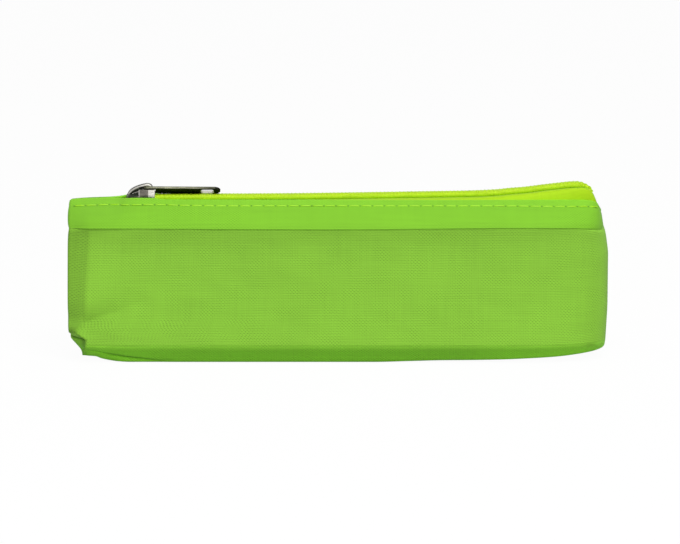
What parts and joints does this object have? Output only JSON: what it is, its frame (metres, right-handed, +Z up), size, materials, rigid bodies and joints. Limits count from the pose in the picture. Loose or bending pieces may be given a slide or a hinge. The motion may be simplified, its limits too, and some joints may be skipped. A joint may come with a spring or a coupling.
{
  "type": "insulin cooling case",
  "caption": "Soft zipped pouch with insulated walls, foil lining and a gel pack that keeps insulin pens cool; a coil zip with a metal slider and pull opens its mouth.",
  "frame": {"origin": "middle of the base, on the surface the case stands on", "axes": "+X along the zip, from the slider's resting end to its far end; -Y the front; +Z up"},
  "size_m": [0.21, 0.0424, 0.068],
  "materials": {
    "panel_cloth": "plain woven polyester, lime green",
    "band_cloth": "the same cloth folded double, topstitched",
    "foam_board": "closed-cell foam sheet, white",
    "foil_lining": "aluminised film, slightly crinkled",
    "binding_cloth": "woven binding strip",
    "gel_film": "clear-blue film round gel, heat-sealed edges",
    "zip_tape": "woven polyester tape, yellow-green",
    "zip_nylon": "nylon coil, satin",
    "gunmetal": "die-cast metal, black nickel plating"
  },
  "bodies": {
    "pouch": {"outer_base": "panel_cloth", "insulation_base_board": "foam_board", "lining_base": "foil_lining", "gel_pack": "gel_film", "outer_front_panel": "panel_cloth", "insulation_front_board": "foam_board", "lining_front": "foil_lining", "front_band_end": "band_cloth", "zip_tape_front_end": "zip_tape", "zip_coil_front_end": "zip_nylon", "outer_back_panel": "panel_cloth", "insulation_back_board": "foam_board", "lining_back": "foil_lining", "back_band_end": "band_cloth", "zip_tape_back_end": "zip_tape", "zip_coil_back_end": "zip_nylon", "outer_left_end": "panel_cloth", "lining_left_end": "foil_lining", "left_seam_binding": "binding_cloth", "outer_right_end": "panel_cloth", "lining_right_end": "foil_lining", "right_seam_binding": "binding_cloth"},
    "front_lip": {"front_band": "band_cloth", "zip_tape_front": "zip_tape", "zip_coil_front": "zip_nylon"},
    "back_lip": {"back_band": "band_cloth", "zip_tape_back": "zip_tape", "zip_coil_back": "zip_nylon"},
    "slider": {"slider_body": "gunmetal"},
    "pull": {"slider_pull": "gunmetal"}
  },
  "joints": [
    {"name": "slider_travel", "type": "slide", "parent": "pouch", "child": "slider", "axis": [0.9997, 0, 0.0225], "range_m": [0, 0.121], "deforming": ["zip_tape_front", "zip_tape_back", "zip_coil_front", "zip_coil_back"]},
    {"name": "pull_swing", "type": "hinge", "parent": "slider", "child": "pull", "pos_m": [-0.07513, 0, 0.06548], "axis": [0, -1, 0], "range_deg": [0, 135]},
    {"name": "front_lip_fold", "type": "hinge", "parent": "pouch", "child": "front_lip", "pos_m": [0, -0.02, 0.0533], "axis": [1, 0, 0], "range_deg": [0, 55]},
    {"name": "back_lip_fold", "type": "hinge", "parent": "pouch", "child": "back_lip", "pos_m": [0, 0.02, 0.0533], "axis": [-1, 0, 0], "range_deg": [0, 55]}
  ],
  "couplings": [
    {"joint": "front_lip_fold", "follows": "slider_travel", "rad_per_m": 7.9333},
    {"joint": "back_lip_fold", "follows": "slider_travel", "rad_per_m": 7.9333}
  ]
}
